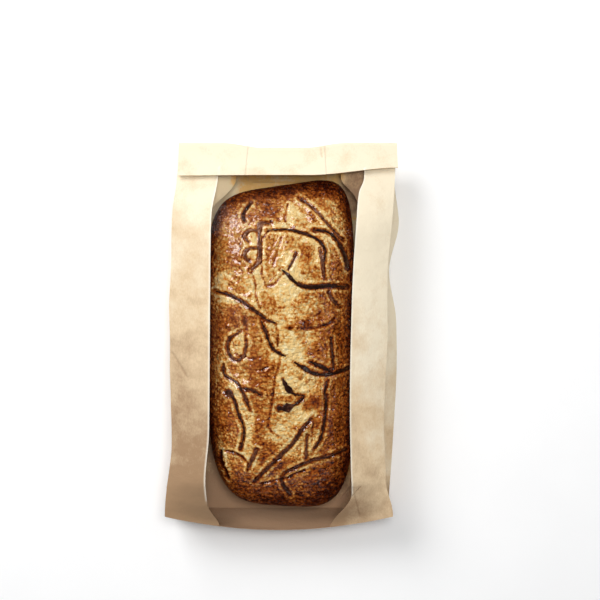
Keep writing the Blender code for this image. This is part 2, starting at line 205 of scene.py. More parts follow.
# Paler and darker patches: x and y from the loaf's centre, half size across and along, and
# change of toast, which isn't in millimetres
TOAST_PATCHES = (
    (9, 0, 20, 105, -0.07), (12, -70, 22, 32, 0.08), (10, 105, 6, 7, -0.26), (-4, 97, 13, 3, -0.2),
    (-21, 85, 5, 8, -0.22), (3, 71, 6, 8, -0.24), (12, 57, 7, 6, -0.42), (28, 72, 7, 10, -0.16),
    (4, 45, 11, 12, -0.26), (23, 29, 8, 7, -0.18), (6, 20, 12, 10, -0.2), (-17, 48, 4, 20, -0.26),
    (-47, 53, 8, 7, -0.18), (-43, 37, 7, 5, -0.2), (-32, 6, 6, 7, -0.26), (5, -8, 10, 12, -0.24),
    (11, -2, 8, 9, -0.22), (3, -31, 6, 9, -0.3), (23, -31, 10, 8, -0.28), (-38, -34, 4, 8, -0.26),
    (-33, -49, 4, 8, -0.2), (-25, -62, 5, 12, -0.24), (-27, -84, 4, 12, -0.18),
    (5, -59, 10, 10, -0.26), (18, -55, 7, 6, -0.34), (0, -73, 9, 7, -0.24),
    (14, -84, 10, 9, -0.26), (-21, -101, 5, 6, -0.18), (-7, -107, 9, 4, -0.18),
    (28, -74, 6, 8, -0.18), (-34, 74, 14, 22, 0.05), (-13, 108, 14, 10, 0.06),
    (42, 96, 14, 22, -0.16), (48, 30, 9, 50, 0.05), (-40, 18, 12, 14, 0.12),
    (-46, -50, 12, 20, 0.08), (-10, -30, 10, 20, 0.04), (44, -70, 10, 28, 0.05),
    (15, 17, 5, 4, 0.2), (10, -119, 40, 10, 0.06), (-30, -104, 12, 10, 0.1),
    (40, -102, 14, 14, 0.02), (22, 18, 4, 2.5, 0.42), (8, 11, 2.2, 1.4, 0.46),
    (2, 31, 2, 1.4, 0.3), (18, 59, 2.6, 2.2, 0.44), (23, 83, 6, 4, -0.22), (20, 76, 6, 5, 0.16),
    (-10, 110, 9, 5, 0.1), (-8, 78, 5, 10, 0.1), (11, -27, 4, 3, -0.2), (-12, -20, 10, 6, 0.12),
    (26, 4, 8, 3, -0.16), (1, -94, 6, 4, 0.2),
)

# Creases baked into the crust, with painted shade in their grooves: half width, depth, then
# points, x and y from the loaf's centre
CRUST_CREASES = (
    (0.9, 1, (-21.7, 58.8), (-19.8, 47.2), (-17.8, 34.6), (-15.4, 29.7)),
    (1, 1, (-10.5, 92.7), (-14.9, 84), (-15.9, 70.4), (-14.4, 56.9), (-11.5, 47.2), (-5.7, 48.1),
     (3, 57.8)),
    (0.7, 0.7, (2.1, 88.9), (0.1, 82.1), (-4.2, 72.4), (-5.7, 64.6)),
    (0.8, 0.8, (6.9, 114.1), (3.5, 104.4), (5.9, 97.6), (12.2, 95.2)),
    (1.2, 1, (-27, 4), (-27.5, 12), (-29, 23)),
    (0.8, 0.7, (-8, -58), (-9, -66), (1, -75)),
    (1.2, 1.6, (-48, -86), (-47, -97), (-42, -109)),
    (1, 1.2, (-44, -86), (-34, -88), (-26, -96)),
    (0.8, 0.8, (-3, 18), (-1, -10), (-6, -40), (-8, -58)),
    (1, 1, (-16, -112), (2, -108), (20, -101)),
    (0.9, 0.9, (17, 14), (34, 15), (44, 22)),
    (0.7, 0.4, (28, 33), (33, 27), (27, 22), (22, 28), (27, 33)),
    (0.8, 0.8, (-36, -6), (-24, -10), (-14, -9)),
    (0.7, 0.7, (-30, -18), (-18, -20), (-10, -17)),
    (0.8, 0.7, (30, -56), (26, -66), (25, -78)),
)

# Roasted onion strips: width, tone (from 0 charred to 1 brown, not in millimetres), then points
# from the loaf's centre
ONION_STRIPS = (
    (2.5, 0.2, (-24, 116), (-30, 107), (-29, 100)),
    (2, 0.6, (15, 120), (29, 109), (42, 94), (51, 85)),
    (2.6, 0.1, (-11, 93), (9, 93), (29, 86), (36, 77), (35, 66)),
    (4, 0.6, (-8, 98), (-16, 98), (-17, 86), (-17, 68), (-24, 60)),
    (2.6, 0.8, (-17, 92), (-24, 93), (-29, 88), (-25, 83)),
    (2.6, 0.7, (-18, 78), (-25, 78), (-29, 73), (-25, 68)),
    (3.6, 0.1, (26, 93), (37, 92), (45, 86), (52, 74), (55, 62)),
    (2.2, 0.6, (32, 78), (34, 66), (36, 54)),
    (2.4, 0.4, (13, 74), (9, 66), (6, 60)),
    (4.2, 0, (1, 61), (6, 57), (13, 50), (23, 47), (40, 48), (54, 47)),
    (2.6, 0.5, (39, 43), (43, 36), (48, 31)),
    (3.2, 0.3, (-53, 44), (-40, 40), (-27, 33), (-11, 21), (-3, 18)),
    (2.6, 0.5, (-31, 12), (-41, 5), (-42, -5), (-36, -12), (-29, -8), (-27, 4)),
    (2.8, 0.1, (-15, 20), (-12, 12), (-6, -2), (5, -9)),
    (3, 0, (11, -13), (19, -18), (29, -23), (42, -23), (55, -19)),
    (3.2, 0, (24, -13), (33, -17), (41, -21)),
    (1.8, 0.3, (41, 6), (42, -6), (43, -19)),
    (2.4, 0.3, (-46, -16), (-45, -24), (-35, -30), (-30, -38), (-24, -52)),
    (2.2, 0.2, (-29, -34), (-22, -36), (-15, -40)),
    (2.8, 0.2, (-44, -37), (-38, -42), (-34, -54), (-29, -68), (-32, -84)),
    (1.8, 0, (2, -26), (6, -34), (12, -39), (20, -40)),
    (2.2, 0.1, (-3, -50), (5, -50), (14, -46), (20, -40)),
    (2, 0.1, (38, -29), (36, -37), (37, -50), (33, -74), (27, -84)),
    (2.7, 0.3, (26, -58), (18, -67), (9, -80), (-12, -101), (-21, -111)),
    (2.4, 0.5, (-19, -84), (-23, -93), (-26, -100)),
    (2.4, 0.3, (53, -85), (39, -90), (23, -94), (3, -104)),
    (2, 0.4, (22, -72), (21, -83), (21, -92)),
    (2.6, 0.2, (1, -107), (2, -113), (8, -122)),
)

# Strips that widen into a leaf: number in the list, then where along the strip and for how far,
# both as shares of its length, and gain in width
ONION_BULBS = {
    0: (0.85, 0.16, 1.0), 3: (0.16, 0.06, 0.8), 14: (0.22, 0.20, 0.5), 17: (0.06, 0.07, 2.0),
    19: (0.05, 0.06, 3.6), 20: (0.32, 0.19, 4.0), 21: (0.24, 0.18, 4.2), 24: (0.06, 0.12, 1.2),
}


def ease(value):
    """Smooth step from 0 to 1."""
    value = np.clip(value, 0.0, 1.0)
    return value * value * (3.0 - 2.0 * value)


def along(profile, y):
    """Read a profile at each y by a curve through its stations that never overshoots them."""
    places, values = np.array(profile).T * MM
    span = np.diff(places)
    rise = np.diff(values) / span
    same = rise[:-1] * rise[1:] > 0.0
    total = np.where(same, rise[:-1] + rise[1:], 1.0)
    slope = np.zeros(len(places))
    slope[1:-1] = np.where(same, 2.0 * rise[:-1] * rise[1:] / total, 0.0)
    index = np.clip(np.searchsorted(places, y) - 1, 0, len(span) - 1)
    t = np.clip((y - places[index]) / span[index], 0.0, 1.0)
    pull = slope[index] * t * (1.0 - t) ** 2 - slope[index + 1] * t * t * (1.0 - t)
    return values[index] + (values[index + 1] - values[index]) * ease(t) + pull * span[index]


def noise_at(points, size, seed):
    """Smooth noise from about -1 to 1 at each point, with lumps about as wide as size."""
    shift = Vector((seed * 7.31, seed * 3.17, seed * 5.83))
    rows = (np.asarray(points) / size).tolist()
    return np.array([noise.noise(Vector(row) + shift) for row in rows])


def blister_at(points, size, seed):
    """Rounded cells: 0 on the seams between them and up to 1 on their tops."""
    shift = Vector((seed * 2.71, seed * 8.13, seed * 4.41))
    rows = (np.asarray(points) / size).tolist()
    cells = np.array([noise.voronoi(Vector(row) + shift)[0][:2] for row in rows])
    return np.clip((cells[:, 1] - cells[:, 0]) * 1.6, 0.0, 1.0) ** 0.6


def smooth_path(points, step):
    """Curve through flat points in millimetres, sampled in metres about every step along it."""
    path = []
    places = [Vector(point) for point in (np.array(points) * MM).tolist()]
    last = len(places) - 1
    for i in range(last):
        before = places[max(i - 1, 0)]
        start = places[i]
        end = places[i + 1]
        after = places[min(i + 2, last)]
        count = max(1, round((end - start).length / step))
        for k in range(count):
            t = k / count
            bend = (end - before) * t * (1.0 - t) ** 2 - (after - start) * t * t * (1.0 - t)
            path.append(start.lerp(end, float(ease(t))) + 0.5 * bend)
    path.append(places[last])
    return np.array([tuple(place) for place in path])


def distance_to(path, x, y):
    """Distance from each place to the nearest part of a sampled path."""
    nearest = np.full(x.shape, 1.0)
    for (ax, ay), (bx, by) in zip(path[:-1], path[1:]):
        dx = bx - ax
        dy = by - ay
        t = np.clip(((x - ax) * dx + (y - ay) * dy) / (dx * dx + dy * dy), 0.0, 1.0)
        gap = np.hypot(x - ax - t * dx, y - ay - t * dy)
        nearest = np.minimum(nearest, gap)
    return nearest


def deselect_all():
    """Leave nothing selected."""
    if bpy.context.mode != "OBJECT":
        bpy.ops.object.mode_set(mode="OBJECT")
    bpy.ops.object.select_all(action="DESELECT")


def select_only(*pieces):
    """Select these pieces alone, with the first one active."""
    deselect_all()
    for piece in pieces:
        piece.select_set(True)
    bpy.context.view_layer.objects.active = pieces[0]


def grid_piece(name, across_cells, along_cells):
    """A grid primitive, with the column and row of each of its vertices."""
    deselect_all()
    bpy.ops.mesh.primitive_grid_add(
        x_subdivisions=across_cells, y_subdivisions=along_cells, size=2.0)
    piece = bpy.context.object
    piece.name = name
    piece.data.name = name
    flat = get_points(piece)
    columns = np.rint((flat[:, 0] + 1.0) * 0.5 * across_cells).astype(int)
    rows = np.rint((flat[:, 1] + 1.0) * 0.5 * along_cells).astype(int)
    return piece, columns, rows


def set_points(piece, points):
    """Move a piece's vertices."""
    piece.data.vertices.foreach_set("co", np.ascontiguousarray(points, dtype=np.float32).ravel())
    piece.data.update()


def get_points(piece):
    """Places of a piece's vertices."""
    flat = np.empty(len(piece.data.vertices) * 3)
    piece.data.vertices.foreach_get("co", flat)
    return flat.reshape(-1, 3)


def get_normals(piece):
    """Normals of a piece's vertices."""
    flat = np.empty(len(piece.data.vertices) * 3, dtype=np.float32)
    piece.data.vertex_normals.foreach_get("vector", flat)
    return flat.reshape(-1, 3)


def paint(piece, name, values):
    """Store one number for each vertex, for the material to read."""
    layer = piece.data.attributes.new(name, "FLOAT", "POINT")
    layer.data.foreach_set("value", np.ascontiguousarray(values, dtype=np.float32))


def edit_all(piece, *actions):
    """Run edit-mode actions on everything in a piece."""
    select_only(piece)
    bpy.ops.object.mode_set(mode="EDIT")
    bpy.ops.mesh.select_all(action="SELECT")
    for action in actions:
        action()
    bpy.ops.object.mode_set(mode="OBJECT")


def select_no_face():
    """Select by face, with none selected."""
    bpy.ops.mesh.select_mode(type="FACE")
    bpy.ops.mesh.select_all(action="DESELECT")


def merge_seams():
    """Merge vertices that lie on each other."""
    bpy.ops.mesh.remove_doubles(threshold=1e-6)


def face_outwards():
    """Turn every face outwards."""
    bpy.ops.mesh.normals_make_consistent(inside=False)


def thicken(piece, thickness):
    """Give an open sheet its thickness, half on each side."""
    solid = piece.modifiers.new("Thickness", "SOLIDIFY")
    solid.thickness = thickness
    solid.offset = 0.0
    solid.use_even_offset = True
    select_only(piece)
    bpy.ops.object.modifier_apply(modifier=solid.name)


def smooth_faces(piece, degrees):
    """Shade smooth, and keep edges sharper than the angle."""
    select_only(piece)
    bpy.ops.object.shade_smooth_by_angle(angle=math.radians(degrees))


def settle(piece, node, material):
    """Give a finished piece its material, slot and body, and hide the part it replaces."""
    piece.data.materials.clear()
    piece.data.materials.append(material)
    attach(piece, "root")
    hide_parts(node)


def fill_ramp(node, stops):
    """Give a colour ramp its stops, each a place and a colour."""
    points = node.color_ramp.elements
    while len(points) < len(stops):
        points.new(0.5)
    for point, (place, colour) in zip(points, stops):
        point.position = place
        point.color = (*colour, 1.0)


class Shader:
    """A node material under construction."""

    def __init__(self, name):
        self.material = bpy.data.materials.new(name)
        self.material.use_nodes = True
        self.tree = self.material.node_tree
        self.surface = self.tree.nodes["Principled BSDF"]

    def link(self, source, target):
        """Join an output to an input, or set the input to a plain value."""
        if isinstance(source, bpy.types.NodeSocket):
            self.tree.links.new(source, target)
        else:
            target.default_value = source

    def node(self, kind, **values):
        """A new node with values or links for the inputs named."""
        node = self.tree.nodes.new("ShaderNode" + kind)
        for name, value in values.items():
            self.link(value, node.inputs[name.replace("_", " ")])
        return node

    def place(self):
        """Object coordinates."""
        return self.node("TexCoord").outputs["Object"]

    def stretched(self, scale):
        """Object coordinates, scaled for each axis."""
        return self.node("Mapping", Scale=scale, Vector=self.place()).outputs["Vector"]

    def painted(self, name):
        """A number stored on the mesh."""
        node = self.node("Attribute")
        node.attribute_name = name
        return node.outputs["Fac"]

    def grain(self, size, detail=3.0, rough=0.55, vector=None):
        """Noise with lumps of a size in metres."""
        vector = vector or self.place()
        node = self.node(
            "TexNoise", Scale=1.0 / size, Detail=detail, Roughness=rough, Vector=vector)
        return node.outputs["Fac"]

    def cells(self, size):
        """Distance to the nearest cell point, for cells of a size in metres."""
        node = self.node("TexVoronoi", Scale=1.0 / size, Vector=self.place())
        return node.outputs["Distance"]

    def creases(self, lines):
        """1 on any of the straight creases listed and 0 away from them, seen from above."""
        total = 0.0
        for width, *ends in (np.array(lines) * MM).tolist():
            gap = self.vector("SUBTRACT", self.stretched((1.0, 1.0, 0.0)), (*ends[:2], 0.0))
            run = (ends[2] - ends[0], ends[3] - ends[1], 0.0)
            share = self.vector("DOT_PRODUCT", gap, run, "Value")
            share = self.spread(share, 0.0, math.hypot(*run) ** 2)
            back = tuple(-value for value in run)
            near = self.vector("MULTIPLY_ADD", self.combined(share), back, third=gap)
            gap = self.vector("LENGTH", near, output="Value")
            total = self.maths("MAXIMUM", self.spread(gap, 0.0, width, 1.0, 0.0), total)
        return total

    def combined(self, value):
        """One value for all three axes."""
        return self.node("CombineXYZ", X=value, Y=value, Z=value).outputs["Vector"]

    def vector(self, operation, first, second=(0.0, 0.0, 0.0), output="Vector", third=None):
        """One arithmetic step on vectors."""
        node = self.node("VectorMath")
        node.operation = operation
        self.link(first, node.inputs[0])
        self.link(second, node.inputs[1])
        if third is not None:
            self.link(third, node.inputs[2])
        return node.outputs[output]

    def maths(self, operation, first, second=0.0, third=0.0):
        """One arithmetic step."""
        node = self.node("Math")
        node.operation = operation
        for socket, value in zip(node.inputs, (first, second, third)):
            self.link(value, socket)
        return node.outputs["Value"]

    def added(self, total, *terms):
        """A value plus each of the values listed times its weight."""
        for value, weight in terms:
            total = self.maths("MULTIPLY_ADD", value, weight, total)
        return total

    def spread(self, value, low, high, new_low=0.0, new_high=1.0):
        """Map a range of values to another and clamp it."""
        node = self.node(
            "MapRange", Value=value, From_Min=low, From_Max=high, To_Min=new_low, To_Max=new_high)
        return node.outputs["Result"]

    def ramp(self, value, stops):
        """Colours by value; stops are (place, colour)."""
        node = self.node("ValToRGB", Fac=value)
        fill_ramp(node, stops)
        return node.outputs["Color"]

    def mixed(self, share, first, second):
        """Two colours mixed."""
        node = self.node("Mix", Factor=share)
        node.data_type = "RGBA"
        for socket, colour in (("A_Color", first), ("B_Color", second)):
            target = next(item for item in node.inputs if item.identifier == socket)
            plain = not isinstance(colour, bpy.types.NodeSocket)
            self.link((*colour, 1.0) if plain else colour, target)
        return next(item for item in node.outputs if item.identifier == "Result_Color")

    def bump(self, height, distance, strength):
        """Bump from a height."""
        node = self.node("Bump", Height=height, Distance=distance, Strength=strength)
        self.set(Normal=node.outputs["Normal"])

    def set(self, **values):
        """Set or link inputs of the surface."""
        for name, value in values.items():
            self.link(value, self.surface.inputs[name.replace("_", " ")])


def crust_material(settings):
    """Cheese crust from pale through golden to mahogany, greasy and finely blistered, with painted
    shade in the seams between blisters.
    """
    shader = Shader("cheese_crust")
    fine = shader.grain(0.0019, 3.0, 0.70)
    coarse = shader.grain(0.0065, 3.0, 0.6)
    cells = shader.cells(0.0026)
    wrinkle = shader.grain(0.0034, 3.0, 0.6, shader.stretched((0.6, 1.5, 1.0)))
    patchy = shader.spread(shader.grain(0.013, 2.0), 0.38, 0.62, 0.9, 2.7)
    fleck = shader.maths("MULTIPLY", shader.maths("SUBTRACT", fine, 0.5), patchy)
    # The cells' distance darkens the seams between blisters as painted shade.
    change = shader.added(fleck, (coarse, 0.6), (wrinkle, 0.9), (cells, 0.60))
    change = shader.maths("SUBTRACT", change, 1.03)
    change = shader.maths("MAXIMUM", change, shader.maths("MULTIPLY", change, 0.55))
    toast_and_shade = shader.painted("toast_and_shade")
    calm = shader.spread(toast_and_shade, 0.02, 0.30, 0.60, 1.0)
    toast_and_shade = shader.maths("MULTIPLY_ADD", change, calm, toast_and_shade)
    baked = shader.ramp(toast_and_shade, (
        (0.00, (0.88, 0.71, 0.38)),
        (0.14, (0.76, 0.475, 0.160)),
        (0.28, (0.63, 0.260, 0.056)),
        (0.42, (0.48, 0.150, 0.024)),
        (0.56, (0.33, 0.080, 0.011)),
        (0.70, (0.20, 0.040, 0.005)),
        (0.84, (0.10, 0.014, 0.002)),
        (1.00, (0.036, 0.004, 0.001)),
    ))
    share = shader.maths("MULTIPLY", shader.painted("rosy"), 0.35)
    colour = shader.mixed(share, baked, (0.40, 0.155, 0.075))
    rough = shader.spread(fine, 0.35, 0.65, 0.22, 0.42)
    shader.set(Base_Color=colour, Roughness=rough, Specular_IOR_Level=0.02)
    wet = shader.spread(shader.grain(0.0040, 2.0), 0.40, 0.48)
    coat = shader.maths("MULTIPLY", shader.painted("greasy"), wet)
    shader.set(Coat_Weight=coat, Coat_Roughness=0.10, Coat_IOR=1.70)
    shader.set(Coat_Tint=(1.0, 0.85, 0.65, 1.0))
    blister = shader.added(fine, (cells, -0.9), (wrinkle, 1.0))
    shader.bump(shader.maths("MULTIPLY", blister, calm), 0.0036, settings.fine_bump)
    return shader.material


def onion_material(settings):
    """Roasted onion: charred purple-brown with paler rims, partly the onion's thin edges and
    partly painted highlight.
    """
    shader = Shader("roasted_onion")
    grain = shader.grain(0.0014, 4.0, 0.7)
    streak = shader.grain(0.0035, 2.0)
    rim = shader.painted("rim")
    # The rims add paler tone: partly the onion's thin edges, partly painted highlight.
    tone = shader.added(shader.painted("tone"), (grain, 1.1), (streak, 0.9), (rim, 0.25))
    tone = shader.maths("SUBTRACT", tone, 0.74)
    colour = shader.ramp(tone, (
        (0.10, (0.008, 0.0025, 0.0012)),
        (0.38, (0.028, 0.0080, 0.0040)),
        (0.60, (0.100, 0.032, 0.016)),
        (0.80, (0.22, 0.085, 0.040)),
        (1.00, (0.42, 0.21, 0.11)),
    ))
    rough = shader.spread(grain, 0.3, 0.7, 0.30, 0.60)
    shader.set(Base_Color=colour, Roughness=rough, Specular_IOR_Level=0.05)
    shader.set(Coat_Weight=0.45, Coat_Roughness=0.14, Coat_IOR=1.5)
    shader.bump(grain, 0.0010, settings.skin_bump)
    return shader.material


def paper_material(settings):
    """Brown paper with faint fibres, mottling and soft creases.

    Its colour holds painted light and shade: lighter at the top, darker at the foot and along the
    creases, and a lit copy of the paper inside.
    """
    shader = Shader("brown_paper")
    fibre = shader.grain(0.0010, 4.0, 0.65, shader.stretched((1.0, 0.45, 1.0)))
    cloud = shader.grain(0.024, 4.0, 0.60)
    crease = shader.creases(PAPER_CREASES)
    tan_and_shade = shader.painted("tan_and_shade")
    # The painted light and shade, the paper's mottling and fibres, and painted shade along the
    # creases.
    shade = shader.added(tan_and_shade, (cloud, 1.15), (fibre, 0.45), (crease, 0.13))
    shade = shader.maths("SUBTRACT", shade, 0.80)
    # Outside: painted light at the top, the paper's own colour halfway and painted shade at the
    # foot.
    outer = shader.ramp(shade, (
        (0.00, tuple(settings.top_lit_colour)),
        (0.45, tuple(settings.colour)),
        (1.00, tuple(settings.foot_shade_colour)),
    ))
    # Inside: a lit copy of the paper, painted as if light came through it, darkening to painted
    # shade at the foot.
    inner = shader.ramp(shade, (
        (0.00, (1.00, 0.82, 0.52)),
        (0.22, tuple(settings.inner_lit_colour)),
        (0.70, (0.80, 0.56, 0.31)),
        (1.00, tuple(settings.inner_foot_shade_colour)),
    ))
    colour = shader.mixed(shader.painted("inside"), outer, inner)
    edge = shader.maths("MULTIPLY", shader.painted("edge"), 0.8)
    colour = shader.mixed(edge, colour, (0.93, 0.88, 0.76))
    shader.set(Base_Color=colour, Roughness=0.80, Specular_IOR_Level=0.25)
    height = shader.added(fibre, (shader.grain(0.010, 3.0, 0.5), 5.0), (crease, -3.0))
    shader.bump(height, 0.00035, settings.fibre_bump)
    return shader.material


def film_material(settings):
    """Thin clear film: faint gloss over what lies under it."""
    shader = Shader("clear_film")
    shader.set(Base_Color=(1.0, 1.0, 1.0, 1.0), Metallic=1.0, Alpha=settings.gloss)
    wave = shader.grain(0.022, 3.0, 0.5, shader.stretched((1.0, 0.5, 1.0)))
    shader.set(Roughness=shader.spread(wave, 0.3, 0.7, 0.05, 0.12))
    shader.bump(wave, 0.0030, 0.6)
    return shader.material


def floor_material(settings):
    """Plain pale floor with a barely visible grain."""
    shader = Shader("pale_floor")
    tint = shader.spread(shader.grain(0.05, 2.0), 0.3, 0.7)
    low = tuple(value * 0.985 for value in settings.floor_colour)
    colour = shader.mixed(tint, low, tuple(settings.floor_colour))
    shader.set(Base_Color=colour, Roughness=0.85, Specular_IOR_Level=0.2)
    return shader.material


def across(x, y):
    """Place across the front panel: -1 at its left crease, 1 at its right one."""
    left = along(LEFT_CREASE_X, y)
    right = along(RIGHT_CREASE_X, y)
    return np.clip((2.0 * x - left - right) / (right - left), -1.0, 1.0)


def front_height(x, y):
    """Height of the front panel and window above the floor."""
    crease = along(CREASE_Z, y)
    crown = along(MIDDLE_Z, y) - crease
    return crease + crown * (1.0 - np.abs(across(x, y)) ** CROWN_POWER)


def back_height(x, y):
    """Height of the back panel: flat on the floor, then rising to meet the front at the fold."""
    rise = np.clip((y - BACK_RISE_Y) / (FOLD_Y - BACK_RISE_Y), 0.0, 1.0) ** 2
    return BACK_PANEL_Z + rise * (front_height(x, y) - FLAT_LAYERS * LAYER - BACK_PANEL_Z)


def fold_dip(x, y):
    """How far the middle of the folded top sits back from its ends."""
    middle = ease(1.5 - np.abs(x) / FOLD_DIP_HALF_WIDTH)
    return FOLD_DIP * middle * ease((y - FLAP_END_Y) / (FOLD_Y - FLAP_END_Y))


def bag_points(x, y, level):
    """Places on the bag at stations y, with level 0 on the back panel and 1 on the front."""
    back = back_height(x, y)
    z = back + level * (front_height(x, y) - back)
    lean_here = ease((LEAN_START_Y - y) / (LEAN_START_Y - BOTTOM_Y))
    lean = END_WALL_LEAN * lean_here * (1.0 - across(x, y) ** 2) * np.sin(0.5 * np.pi * level)
    return np.stack((x, y - lean - fold_dip(x, y), z), axis=-1)


def fold_points(x, level, angle):
    """Places on the half turn at the top, where the front panel is the inner layer."""
    radius = FOLD_RADIUS + TURNED_LAYERS * LAYER * (1.0 - level)
    fold_y = np.full(x.shape, FOLD_Y)
    axis_z = front_height(x, fold_y) + FOLD_RADIUS
    y = FOLD_Y - fold_dip(x, fold_y) + radius * np.sin(angle)
    return np.stack((x, y, axis_z - radius * np.cos(angle)), axis=-1)


def flap_points(x, level, reach):
    """Places on the flap, with reach 0 at the fold and 1 at the mouth of the bag."""
    slant = 1.0 - FLAP_SLANT * ease((x - 0.020) / 0.075)
    y = FOLD_Y + reach * slant * (FLAP_END_Y - FOLD_Y)
    lift = 2.0 * FOLD_RADIUS + reach * (FLAP_LIFT - 2.0 * FOLD_RADIUS)
    depth = FLAT_LAYERS * LAYER * (1.0 - level)
    return np.stack((x, y - fold_dip(x, y), front_height(x, y) + lift + depth), axis=-1)


def ruffle(points):
    """Soft waves of thin paper, nothing where it lies on the floor."""
    flat = points.reshape(-1, 3)
    x, y, z = flat.T
    free = ease((z - 0.001) / 0.012)
    flat_top = 1.0 - 0.75 * ease((y - 0.110) / 0.030)
    lift = noise_at(flat * (1.0, 0.6, 1.0), RUFFLE_SIZE, 1) * RUFFLE_LIFT
    side = noise_at(flat * (1.0, 0.7, 1.0), RUFFLE_SIZE * 0.8, 2) * RUFFLE_SIDE
    side = side * ease((np.abs(x) - 0.060) / 0.025) * flat_top
    inside = (x > BAG_LOW.x + 0.002) & (x < BAG_HIGH.x - 0.002)
    moved = flat.copy()
    moved[:, 0] += side * free * inside
    moved[:, 2] += lift * free * flat_top
    return moved.reshape(points.shape)


def steps(start, end, cells):
    """Columns from start to end as shares of the way, one row for each station."""
    share = np.linspace(0.0, 1.0, cells + 1)
    return start[:, None] + (end - start)[:, None] * share


def pleat(y, front_profile, gusset_profile, back_profile):
    """One side's pleat: x and level of its columns, from under the front to over the back."""
    front_x = along(front_profile, y)
    fold_x = along(gusset_profile, y)
    back_x = along(back_profile, y)
    step = LAYER / (front_height(front_x, y) - back_height(front_x, y))
    x = np.hstack((steps(front_x, fold_x, PLEAT_CELLS), steps(fold_x, back_x, PLEAT_CELLS)))
    upper = steps(1.0 - step, 0.5 + 0.5 * step, PLEAT_CELLS)
    lower = steps(0.5 - 0.5 * step, step, PLEAT_CELLS)
    return x, np.hstack((upper, lower))


def bag_columns(y):
    """x and level of every column of the bag's section at stations y, going once round."""
    left = along(LEFT_CREASE_X, y)
    right = along(RIGHT_CREASE_X, y)
    window_left = along(LEFT_WINDOW_X, y)
    window_right = along(RIGHT_WINDOW_X, y)
    front = np.hstack((
        steps(left, window_left, STRIP_CELLS)[:, :-1],
        steps(window_left, window_right, WINDOW_CELLS)[:, :-1],
        steps(window_right, right, STRIP_CELLS),
    ))
    back = steps(along(RIGHT_BACK_X, y), along(LEFT_BACK_X, y), 2 * STRIP_CELLS + WINDOW_CELLS)
    right_x, right_level = pleat(y, RIGHT_CREASE_X, RIGHT_GUSSET_X, RIGHT_BACK_X)
    left_x, left_level = pleat(y, LEFT_CREASE_X, LEFT_GUSSET_X, LEFT_BACK_X)
    x = np.hstack((front, right_x, back, left_x[:, ::-1], front[:, :1]))
    level = np.hstack((
        np.ones(front.shape), right_level, np.zeros(back.shape), left_level[:, ::-1],
        np.ones((len(y), 1)),
    ))
    return x, level


def bag_surface():
    """Places of the whole sweep: up the body, round the fold and back along the flap."""
    window_cells = round(BODY_CELLS * (WINDOW_TOP_Y - BOTTOM_Y) / (FOLD_Y - BOTTOM_Y))
    y = np.concatenate((
        np.linspace(BOTTOM_Y, WINDOW_TOP_Y, window_cells + 1),
        np.linspace(WINDOW_TOP_Y, FOLD_Y, BODY_CELLS - window_cells + 1)[1:],
    ))
    x, level = bag_columns(y)
    body = bag_points(x, np.broadcast_to(y[:, None], x.shape), level)
    parts = [body]
    for points, cells, end in ((fold_points, FOLD_CELLS, np.pi), (flap_points, FLAP_CELLS, 1.0)):
        places = np.linspace(0.0, end, cells + 1)[1:, None]
        parts.append(points(np.tile(x[-1], (cells, 1)), np.tile(level[-1], (cells, 1)), places))
    return np.vstack(parts), window_cells


def cut_window(piece, columns, rows, window_cells):
    """Delete the faces inside the window opening."""
    first = STRIP_CELLS
    last = STRIP_CELLS + WINDOW_CELLS
    inner = (columns >= first) & (columns <= last) & (rows <= window_cells)
    edit_all(piece, select_no_face)
    for polygon in piece.data.polygons:
        polygon.select = all(inner[index] for index in polygon.vertices)
    bpy.ops.object.mode_set(mode="EDIT")
    bpy.ops.mesh.delete(type="FACE")
    bpy.ops.object.mode_set(mode="OBJECT")


def end_wall():
    """The bag's bottom as its own grid, which meets the tube's first ring."""
    y = np.array([BOTTOM_Y])
    x, level = bag_columns(y)
    front_cells = 2 * STRIP_CELLS + WINDOW_CELLS
    pleat_columns = 2 * PLEAT_CELLS + 2
    side_level = level[0, front_cells + 1:front_cells + 1 + pleat_columns]
    levels = np.concatenate(((1.0,), side_level, (0.0,)))
    wall, columns, rows = grid_piece("end_wall", front_cells, pleat_columns + 1)
    front_x = x[0, :front_cells + 1]
    back_x = x[0, front_cells + 1 + pleat_columns:][front_cells::-1]
    row_level = levels[rows]
    left_x = x[0, -1 - pleat_columns - 1:][::-1]
    right_x = x[0, front_cells:front_cells + pleat_columns + 2]
    wall_x = back_x[columns] + row_level * (front_x[columns] - back_x[columns])
    wall_x = np.where(columns == 0, left_x[rows], wall_x)
    wall_x = np.where(columns == front_cells, right_x[rows], wall_x)
    points = bag_points(wall_x, np.full(wall_x.shape, BOTTOM_Y), row_level)
    set_points(wall, ruffle(points))
    return wall


def plan_length(y):
    """Length of the loaf's plan from its centre to its head or to its tail."""
    settings = bpy.context.scene.onion_loaf
    return np.where(y > 0.0, settings.head_length, settings.tail_length)


def plan_skew(y):
    """How far a loaf's end leans for each unit across it, with y taken before the lean."""
    return np.where(y > 0.0, HEAD_SKEW, TAIL_SKEW) * (y / plan_length(y)) ** 2


def plan_power(x, y):
    """Power of the superellipse that outlines each quarter of the loaf's plan."""
    head = np.where(x > 0.0, RIGHT_HEAD_POWER, LEFT_HEAD_POWER)
    tail = np.where(x > 0.0, RIGHT_TAIL_POWER, LEFT_TAIL_POWER)
    return np.where(y > 0.0, head, tail)


def half_width():
    """Half the loaf's width."""
    return bpy.context.scene.onion_loaf.half_width


def plan_place(x, y):
    """How far out a place of the loaf's plan is: 0 in the middle, 1 on the outline."""
    straight_y = y
    for _ in range(4):
        straight_y = y - x * plan_skew(straight_y)
    power = plan_power(x, straight_y)
    wide = np.abs(x) / half_width()
    long = np.abs(straight_y) / plan_length(straight_y)
    return (wide ** power + long ** power) ** (1.0 / power)


